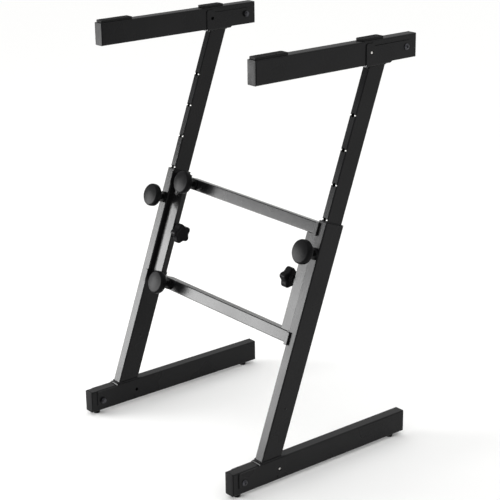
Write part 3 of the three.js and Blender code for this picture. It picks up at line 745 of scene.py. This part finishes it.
def endCap():
    c = caps
    t = tubes
    bm = bmesh.new()
    g = c["groove"]
    start = roundedFace(bm, t["wide"] - 2 * g, t["deep"] - 2 * g, t["corner"] - g)[0]
    top = c["flange"] - c["pillow"]
    # the flange leaves a shadow groove beside the tube, then swells to the tube's own outline
    rings = [(0, g), (-g, g + c["grooveRise"]), (-g, top - c["bevel"])]
    rings += [(inset - g, height) for inset, height in roundOver(c["bevel"], top - c["bevel"])]
    rings += [(c["bevel"] - g + inset, top + c["pillow"] * rise) for inset, rise in c["pillowRings"]]
    growRings(bm, start, t["wide"] / 2 - g, t["deep"] / 2 - g, rings)
    gap = 2 * (t["wall"] + stand["fit"])
    plug = tubeShape(t["wide"] - gap, t["deep"] - gap, c["plugCorner"], c["plugWall"], -c["plug"],
                     c["flange"] * c["plugInFlange"])
    return laid(joined(bm, plug), lengthOnY)


for side, sign in stand["sides"]:
    for part, length, place in swinging:
        near = place(sign) @ Matrix.Translation((0, caps["flange"] - tubes["pivotInset"], 0)) @ halfTurn
        far = place(sign) @ Matrix.Translation((0, length - tubes["pivotInset"] - caps["flange"], 0))
        for end, spot in (("pivot", near), ("free", far)):
            finishPiece(f"{side}_{part}_{end}_end_cap_moulded", endCap(), spot, "mouldedPolypropylene",
                        f"{side}_{part}", (f"{side}_{part}_{end}_end_cap",),
                        smooth=caps["smooth"])
print("stage: end caps made")


# Rubber feet and keyboard pads
rubber = {
    "footHigh": 8, "footRadius": 8, "footSeat": 7.1, "footFlare": 2.4, "footSoft": 1.2, "soleSoft": 0.5,
    "footGroove": ((3, 0), (2.6, 0.7), (2, 0.7), (1.6, 0)),   # in from the seat's rim, and deep
    "frontFoot": 20.2, "rearFoot": 31.6,
    "padWide": 23, "padThick": 4.7, "padCorner": 4, "padSoft": 0.9, "padSoftSegments": 3,
    "ribPitch": 3, "ribDeep": 0.35, "ribEdges": (-0.45, -0.25, 0.25, 0.45), "ribHalf": 0.3, "skin": 0.2,
    "pads": (("front", 3, 81), ("rear", 277, 57.5)),
}


def foot():
    r = rubber
    high = r["footHigh"]
    soft = r["footSoft"]
    groove = [(r["footSeat"] - inset, high - depth, 0) for inset, depth in r["footGroove"]]
    return turnedShape([
        (0, high, 0), *groove, (r["footSeat"], high, soft), (r["footRadius"], r["footFlare"], soft),
        (r["footRadius"], stand["fit"], r["soleSoft"]), (0, stand["fit"], 0),
    ])


def pad(length):
    r = rubber
    bm = bmesh.new()
    extrudeUp(bm, roundedFace(bm, r["padWide"], length, r["padCorner"]), r["padThick"])
    sharp = [e for e in bm.edges if e.is_manifold and e.calc_face_angle(0) > finishing["roundFrom"]]
    rim = [e for e in sharp if min(v.co.z for v in e.verts) > r["padThick"] / 2]
    bmesh.ops.bevel(bm, geom=rim, offset=r["padSoft"], affect="EDGES", segments=r["padSoftSegments"],
                    profile=0.5, material=-1)
    count = int((length - 2 * r["padCorner"]) / r["ribPitch"])
    start = -(count - 1) * r["ribPitch"] / 2
    for i in range(count):   # shallow grooves across the pad, as a grip for the keyboard's underside
        middle = start + i * r["ribPitch"]
        for offset in r["ribEdges"]:
            bmesh.ops.bisect_plane(bm, geom=bm.verts[:] + bm.edges[:] + bm.faces[:],
                                   plane_co=(0, middle + offset, 0), plane_no=(0, 1, 0),
                                   dist=finishing["cutMerge"])
        top = [v for v in bm.verts if v.co.z > r["padThick"] - r["skin"]]
        low = [v for v in top if abs(v.co.y - middle) < r["ribHalf"]]
        bmesh.ops.translate(bm, vec=(0, 0, -r["ribDeep"]), verts=low)
    return bm


for side, sign in stand["sides"]:
    base = baseFrame(sign)
    drop = Matrix.Rotation(pi / 2, 4, "X")
    places = (("front", rubber["frontFoot"]), ("rear", tubes["baseLength"] - rubber["rearFoot"]))
    for end, y in places:
        spot = base @ Matrix.Translation((0, y - tubes["pivotInset"], -tubes["deep"] / 2)) @ drop
        finishPiece(f"{side}_{end}_foot_moulded", foot(), spot, "blackRubberAndShade", f"{side}_base",
                    (f"{side}_{end}_foot",))
    for end, inset, length in rubber["pads"]:
        y = tubes["armLength"] - tubes["pivotInset"] - inset - length / 2
        z = -tubes["deep"] / 2 - stand["fit"]
        spot = armFrame(sign) @ Matrix.Translation((0, y, z)) @ Matrix.Rotation(pi, 4, "X")
        finishPiece(f"{side}_{end}_pad_ribbed", pad(length), spot, "blackRubberAndShade", f"{side}_arm",
                    (f"{side}_{end}_pad",))
print("stage: feet and pads made")


# Spring-loaded pull knobs: knob with its plunger, hexagon housing, and the coil spring inside
pullKnob = {
    "faceOut": 43.5, "radius": 26,
    # the head, from the middle of its face to its neck: in from the radius, back from the face, rounding
    "head": (
        (26, 0, 0), (15, 0.35, 9), (2.8, 1.9, 1.2), (0.6, 4.2, 2), (0, 8, 3), (0.3, 15, 2.5),
        (3.2, 18.1, 2), (14.9, 19.5, 3), (18.3, 22, 2),
    ),
    "skirt": 7.7, "skirtWall": 1.3, "skirtStart": 12, "skirtSoft": 0.5, "cavityTop": 26.6,
    "rod": 2.5, "nose": 4, "noseTop": 8.3, "noseChamfer": 0.9, "noseSoft": 0.4, "noseClear": 0.4,
    "soft": 0.3, "sides": 72, "steps": 7,
    "hexCorners": 27, "hexHigh": 6, "hexChamfer": (1.9, 1.1), "lensOver": 0.4, "lensFoot": 1,
    "barrel": 6, "barrelTop": 21, "barrelSoft": 0.6, "barrelCap": 2.3, "bore": 4.8, "rodGap": 0.4,
    "wire": 0.48, "wireSides": 10, "coilRadius": 3.7, "turns": 5, "stepsPerTurn": 28,
}


def knobShape(noseReach):
    k = pullKnob
    inside = k["skirt"] - k["skirtWall"]
    head = [(k["radius"] - inset, k["faceOut"] - back, soft) for inset, back, soft in k["head"]]
    return turnedShape([
        *head, (k["skirt"], k["skirtStart"], k["skirtSoft"]), (inside, k["skirtStart"], k["soft"]),
        (inside, k["cavityTop"], 0), (k["rod"], k["cavityTop"], 0), (k["rod"], k["noseTop"], 0),
        (k["nose"], k["noseTop"], k["soft"]), (k["nose"], k["noseChamfer"] - noseReach, k["noseSoft"]),
        (k["nose"] - k["noseChamfer"], -noseReach, k["noseSoft"]), (0, -noseReach, 0),
    ], sides=k["sides"], steps=k["steps"])


def housingShape():
    k = pullKnob
    under = k["barrelTop"] - k["barrelCap"]
    rodHole = k["rod"] + k["rodGap"]
    barrel = turnedShape([
        (k["barrel"], k["barrelTop"], k["barrelSoft"]), (k["barrel"], stand["fit"], 0),
        (k["bore"], stand["fit"], 0), (k["bore"], under, 0), (rodHole, under, 0),
        (rodHole, k["barrelTop"], k["soft"]),
    ], closed=True)
    hexagon = bmesh.new()
    bmesh.ops.create_circle(hexagon, cap_ends=True, radius=k["hexCorners"] / 2, segments=6)
    laid(hexagon, Matrix.Rotation(pi / 6, 4, "Z"))
    extrudeUp(hexagon, hexagon.faces[:], k["hexHigh"])
    moved(laid(hexagon, Matrix.Rotation(pi / 2, 4, "X")), y=-stand["fit"])
    # the turned chamfer that every nut has on its outer corners
    half = k["hexCorners"] / 2
    over = half + k["lensOver"]
    chamferIn, chamferDown = k["hexChamfer"]
    lens = turnedShape([
        (0, k["hexHigh"] + stand["fit"], 0), (half - chamferIn, k["hexHigh"] + stand["fit"], 0),
        (over, k["hexHigh"] - chamferDown, 0), (over, -k["lensFoot"], 0), (0, -k["lensFoot"], 0),
    ])
    # the hexagon is bored, and the barrel's wall stands in it
    bored = rodShape((k["bore"] + k["barrel"]) / 2, -k["hexHigh"] * 2, k["hexHigh"], axis="Y")
    return joined(boolean(boolean(hexagon, lens, "INTERSECT"), bored), barrel)


# One unbroken wire, swept round the plunger by a spin that also climbs
def springShape():
    k = pullKnob
    start = k["noseTop"] + stand["fit"] + k["wire"]
    end = k["barrelTop"] - k["barrelCap"] - stand["fit"] - k["wire"]
    bm = bmesh.new()
    bmesh.ops.create_circle(bm, cap_ends=True, radius=k["wire"], segments=k["wireSides"])
    moved(laid(bm, Matrix.Rotation(pi / 2, 4, "X")), x=k["coilRadius"])
    steps = k["turns"] * k["stepsPerTurn"]
    bmesh.ops.spin(bm, geom=bm.verts[:] + bm.edges[:] + bm.faces[:], cent=(0, 0, 0), axis=(0, 0, 1),
                   dvec=(0, 0, (end - start) / steps), angle=2 * pi * k["turns"], steps=steps)
    return moved(laid(bm, Matrix.Rotation(pi / 2, 4, "X")), y=-start)


# The nose stops just clear of the inner tube, whose front lies gap behind the outer tube's front
def pullLock(prefix, place, knobBody, tubeBody, gap):
    k = pullKnob
    finishPiece(f"{prefix}_knob_moulded", knobShape(gap - k["noseClear"]), place, "mouldedNylon", knobBody,
                (f"{prefix}_knob",), smooth=30)
    finishPiece(f"{prefix}_housing_turned", housingShape(), place, "dullShadedPowderCoat", tubeBody,
                (f"{prefix}_housing",), smooth=30)
    # on the real knob the spring shortens as the plunger is drawn, staying on the barrel's cap and the
    # plunger's shoulder; here both ends are worked out and passed with its two bodies
    onCap = place @ Vector((0, k["barrelCap"] - k["barrelTop"], 0))
    onShoulder = place @ Vector((0, -k["noseTop"], 0))
    finishPiece(f"{prefix}_spring_wound", springShape(), place, "brightZinc",
                (tubeBody, knobBody, onCap, onShoulder), (f"{prefix}_spring",), smooth=60)


for side, sign in stand["sides"]:
    spot = uprightFrame(sign) @ Matrix.Translation((0, -tubes["deep"] / 2, tubes["lockHeight"]))
    pullLock(f"{side}_height", spot, f"{side}_height_pull", f"{side}_frame",
             (tubes["deep"] - masts["deep"]) / 2)
for level, height in cross["levels"]:
    spot = crossFrame @ Matrix.Translation((cross["knobPlace"], -cross["deep"] / 2, height))
    pullLock(f"{level}_width", spot, f"{level}_width_pull", "right_frame",
             cross["wall"] + cross["slideGap"])
print("stage: pull knobs made")


# Five-lobed star knobs that clamp the H-frame's stiles to the uprights
star = {
    "radius": 23, "waist": 17.5, "tall": 19, "gap": 6, "lobes": 5, "phase": radians(50), "sides": 100,
    "edge": 3.2, "dish": 1.2, "dishRings": ((1.5, 0), (3, 1 / 3), (6, 1)),   # how far in, and its share
    "boss": 9.5, "bossTall": 6, "bossSides": 48, "bossRings": ((0.6, 1), (1.8, 0)),   # in, up from the foot
    "screw": 4, "screwTip": 0.9, "screwEdge": 0.5,
}


def starGrip():
    s = star
    bm = bmesh.new()
    bmesh.ops.create_circle(bm, cap_ends=True, radius=1, segments=s["sides"])
    middle = (s["radius"] + s["waist"]) / 2
    swing = (s["radius"] - s["waist"]) / 2
    for v in bm.verts:   # the lobes are one slow wave round the rim
        around = atan2(v.co.x, v.co.y)
        v.co *= middle + swing * cos(s["lobes"] * (around - s["phase"]))
    edge = s["edge"]
    start = bm.faces[:][0]
    inner = (middle - edge) / middle
    bmesh.ops.scale(bm, vec=(inner, inner, 1), verts=bm.verts)
    # the quarter round under the rim is the one over it with out and up exchanged
    rings = [(-up, out) for out, up in roundOver(edge, 0)] + [(-edge, s["tall"] - edge)]
    rings += [(inset - edge, height) for inset, height in roundOver(edge, s["tall"] - edge)]
    rings += [(inset, s["tall"] - s["dish"] * share) for inset, share in s["dishRings"]]
    growRings(bm, start, middle - edge, middle - edge, rings)
    boss = bmesh.new()
    bmesh.ops.create_circle(boss, cap_ends=True, radius=s["boss"], segments=s["bossSides"])
    moved(boss, z=edge)
    foot = -edge - s["bossTall"]
    rings = [(0, -edge)] + [(inset, foot + rise) for inset, rise in s["bossRings"]]
    growRings(boss, boss.faces[:][0], s["boss"], s["boss"], rings)
    return joined(bm, boss)


starBase = tubes["wide"] / 2 + stand["fit"] + cross["stileWide"] + star["gap"]
for side, sign in stand["sides"]:
    spot = uprightFrame(sign) @ Matrix.Translation((0, -cross["stileDeep"] / 2, tubes["starHeight"]))
    if sign > 0:
        spot = spot @ Matrix.Rotation(pi, 4, "Y")
    grip = laid(moved(starGrip(), z=starBase + star["bossTall"]), lengthOnX)
    finishPiece(f"{side}_star_knob_moulded", grip, spot, "mouldedNylon", f"{side}_star",
                (f"{side}_star_knob",))
    screw = rodShape(star["screw"], tubes["wide"] / 2 - tubes["wall"] - star["screwTip"],
                     starBase + star["bossTall"] / 2)
    finishPiece(f"{side}_star_screw", screw, spot, "brightZinc", f"{side}_star",
                edge=star["screwEdge"])
print("stage: star knobs made")


# Pivot bolts: a domed socket head outside, a lock nut with its nylon ring inside
bolts = {
    "radius": 4, "head": 6.6, "headHigh": 3.6, "crown": 0.42, "crownSoft": 2.4, "shoulder": 0.45,
    "shoulderSoft": 1.6, "soft": 0.3, "socket": 2.6, "socketDeep": 2.2, "buried": 1,
    "nutCorners": 14.4, "nutHigh": 5.6, "nutHexShare": 0.8, "ring": 0.4, "ringSoft": 0.8, "plate": 2,
}


def pivotBolt():
    b = bolts
    face = tubes["wide"] / 2 + stand["fit"] + b["plate"] + stand["fit"]
    head = turnedShape([
        (0, face + b["headHigh"], 0), (b["head"] * b["crown"], face + b["headHigh"], b["crownSoft"]),
        (b["head"], face + b["headHigh"] * b["shoulder"], b["shoulderSoft"]), (b["head"], face, b["soft"]),
        (0, face, 0),
    ])
    socket = bmesh.new()
    bmesh.ops.create_circle(socket, cap_ends=True, radius=b["socket"], segments=6)
    extrudeUp(socket, socket.faces[:], b["headHigh"])
    moved(laid(socket, Matrix.Rotation(pi / 2, 4, "X")), y=-face - b["headHigh"] + b["socketDeep"])
    head = laid(boolean(head, socket), Matrix.Rotation(pi / 2, 4, "Z"))
    nut = bmesh.new()
    bmesh.ops.create_circle(nut, cap_ends=True, radius=b["nutCorners"] / 2, segments=6)
    extrudeUp(nut, nut.faces[:], b["nutHigh"] * b["nutHexShare"])
    moved(laid(nut, Matrix.Rotation(-pi / 2, 4, "Y")), x=-face)
    ringRadius = b["nutCorners"] * b["ring"]
    ring = turnedShape([
        (ringRadius, 0, 0), (ringRadius, b["nutHigh"], b["ringSoft"]),
        (b["radius"], b["nutHigh"], b["soft"]), (b["radius"], 0, 0),
    ], closed=True)
    moved(laid(ring, Matrix.Rotation(-pi / 2, 4, "Z")), x=-face)
    shank = rodShape(b["radius"], -face - b["nutHigh"] - b["radius"] / 2, face + b["buried"])
    return joined(shank, head, nut, ring)


for side, sign in stand["sides"]:
    for part, place, body in (("base", baseFrame, "frame"), ("arm", armFrame, "mast_set")):
        turn = Matrix.Rotation(pi, 4, "Y") if sign < 0 else Matrix.Identity(4)
        finishPiece(f"{side}_{part}_pivot_bolt_turned", pivotBolt(), place(sign) @ turn, "blackOxide",
                    f"{side}_{body}", (f"{side}_{part}_pivot_bolt",), smooth=30)
print("stage: bolts made")


# Snap buttons that lock each fold: a domed pin in the lock hole on the tube's outer face
buttons = {
    "radius": 3.85, "crown": 0.6, "crownSoft": 1.5, "dome": 1.6, "edgeSoft": 0.8, "proud": 1.2, "sunk": 4,
    "sides": 32,
}


def snapButton(sign):
    b = buttons
    face = tubes["wide"] / 2
    top = face + b["proud"]
    foot = face - b["sunk"]
    pin = turnedShape([
        (0, top, 0), (b["radius"] * b["crown"], top, b["crownSoft"]),
        (b["radius"], top - b["dome"], b["edgeSoft"]), (b["radius"], foot, 0), (0, foot, 0),
    ], sides=b["sides"])
    return moved(laid(pin, Matrix.Rotation(sign * pi / 2, 4, "Z")), y=tubes["lockReach"])


for side, sign in stand["sides"]:
    for part, _, place in swinging:
        finishPiece(f"{side}_{part}_lock_button", snapButton(sign), place(sign), "brightNickel",
                    f"{side}_{part}")
print("stage: lock buttons made")


# Floor, light and camera
studio = {
    "floorSize": 80.0, "floorColour": "#fbfbfa", "floorRoughness": 0.9,
    "backdropStrength": 1.04, "skyStrength": 1.17,
    # the ceiling is brighter than the walls: sine of the angle above the horizon, and brightness
    "sky": ((0.3, 0.3), (0.5, 1.0)),
    # name, middle, size across and up, watts, point aimed at
    "lights": (
        ("frontLeftPanel", (-1.87, -1.8, 0.41), (1.4, 0.9), 86, (0.0, -0.1, 0.38)),
    ),
}
floorMesh = bmesh.new()
bmesh.ops.create_grid(floorMesh, x_segments=1, y_segments=1, size=studio["floorSize"] / 2)
floor = looseObject(floorMesh, "floor")
floorPaint = bpy.data.materials.new("paleFloorPaint")
floorPaint.use_nodes = True
paint = floorPaint.node_tree.nodes["Principled BSDF"]
paint.inputs["Base Color"].default_value = linear(studio["floorColour"])
paint.inputs["Roughness"].default_value = studio["floorRoughness"]
floor.data.materials.append(floorPaint)

for name, middle, size, watts, aim in studio["lights"]:
    light = bpy.data.lights.new(name, "AREA")
    light.shape = "RECTANGLE"
    light.size, light.size_y = size
    light.energy = watts
    lamp = bpy.data.objects.new(name, light)
    lamp.location = middle
    lamp.rotation_euler = (Vector(aim) - Vector(middle)).to_track_quat("-Z", "Y").to_euler()
    bpy.context.scene.collection.objects.link(lamp)

world = bpy.data.worlds.new("studioWorld")
world.use_nodes = True
tree = world.node_tree
tree.nodes.clear()
direction = addNode(tree, "ShaderNodeTexCoord").outputs["Generated"]
height = addNode(tree, "ShaderNodeSeparateXYZ", links={"Vector": direction}).outputs["Z"]
sky = ramp(tree, height, [(place, grey(level)) for place, level in studio["sky"]]).outputs["Color"]
lightingSky = addNode(tree, "ShaderNodeBackground", {"Strength": studio["skyStrength"]}, {"Color": sky})
backdrop = addNode(tree, "ShaderNodeBackground", {
    "Color": grey(1.0), "Strength": studio["backdropStrength"],
})
seen = addNode(tree, "ShaderNodeLightPath").outputs["Is Camera Ray"]
# the two shader sockets share a name, so they go by number
both = addNode(tree, "ShaderNodeMixShader", links={
    "Fac": seen, 1: lightingSky.outputs["Background"], 2: backdrop.outputs["Background"],
})
addNode(tree, "ShaderNodeOutputWorld", links={"Surface": both.outputs["Shader"]})
bpy.context.scene.world = world
bpy.context.scene.view_settings.view_transform = "Standard"

view = {
    "place": (2.40409, -1.88879, 1.47041),   # metres
    "azimuth": 51.48, "elevation": 19.01, "roll": -0.7, "lens": 105.96, "sensor": 36,
}
lensData = bpy.data.cameras.new("photoCamera")
lensData.lens = view["lens"]
lensData.sensor_width = view["sensor"]
lensData.sensor_fit = "HORIZONTAL"
camera = bpy.data.objects.new("photoCamera", lensData)
turn = Matrix.Rotation(radians(view["azimuth"]), 4, "Z")
tilt = Matrix.Rotation(radians(90 - view["elevation"]), 4, "X")
roll = Matrix.Rotation(radians(view["roll"]), 4, "Z")
camera.matrix_world = Matrix.Translation(view["place"]) @ turn @ tilt @ roll
bpy.context.scene.collection.objects.link(camera)
bpy.context.scene.camera = camera
print("stage: studio made")
